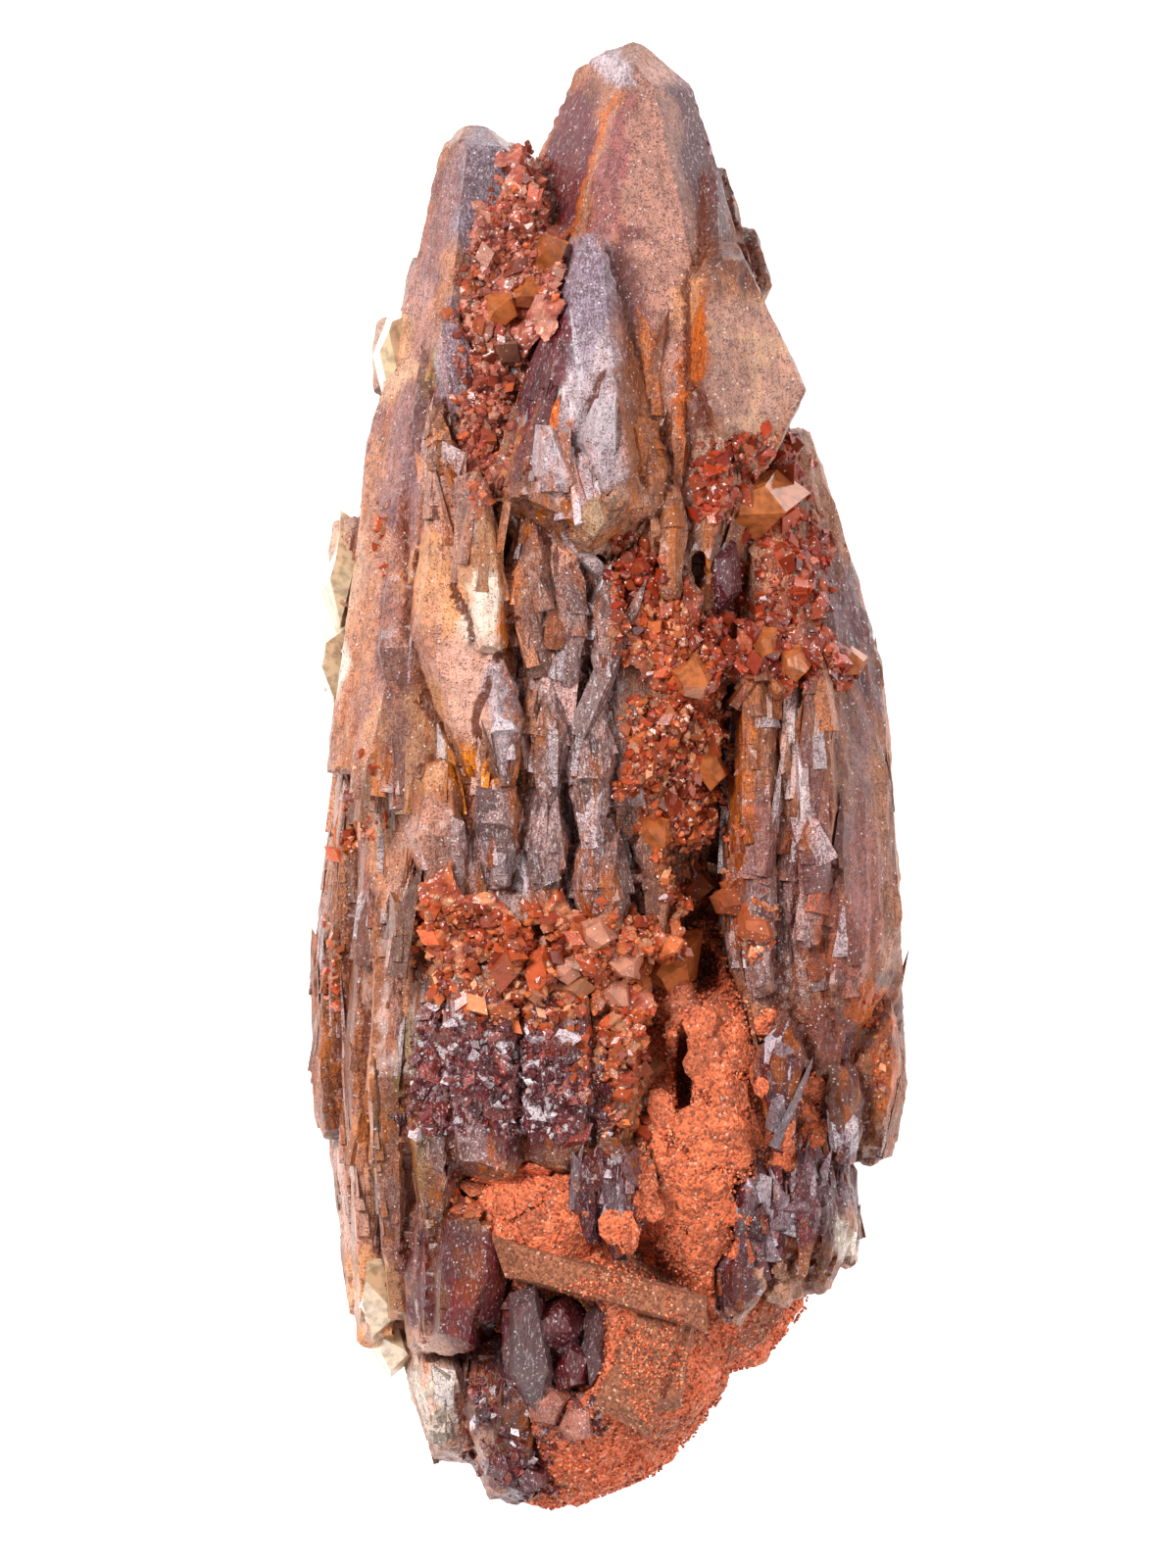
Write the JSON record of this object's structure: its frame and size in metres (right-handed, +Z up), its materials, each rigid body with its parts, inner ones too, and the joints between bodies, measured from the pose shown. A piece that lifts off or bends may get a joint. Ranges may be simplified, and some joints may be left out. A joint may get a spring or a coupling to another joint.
{
  "type": "calcite on matrix",
  "caption": "Mineral specimen: a sheaf of steep pointed calcite crystals with amber druse on a sandy, iron-stained rock base.",
  "frame": {"origin": "middle of the footprint's bounding box, on the surface that the specimen lies on", "axes": "+Y along the sheaf towards the crystal tips, +X to the right as it is looked down on, +Z up away from the surface"},
  "size_m": [0.0488, 0.1202, 0.0376],
  "materials": {
    "calcite": "translucent pinkish cream to mauve crystal with iron stain",
    "dark_calcite": "dark glossy broken crystal",
    "amber_druse": "small glossy orange-brown crystals",
    "sandy_rock": "matt orange sandy rock"
  },
  "bodies": {
    "root": {"calcite_crystals": "calcite", "pocket_crystal": "dark_calcite", "upper_druse": "amber_druse", "side_druse": "amber_druse", "band_druse": "amber_druse", "sandy_matrix": "sandy_rock"}
  },
  "joints": []
}
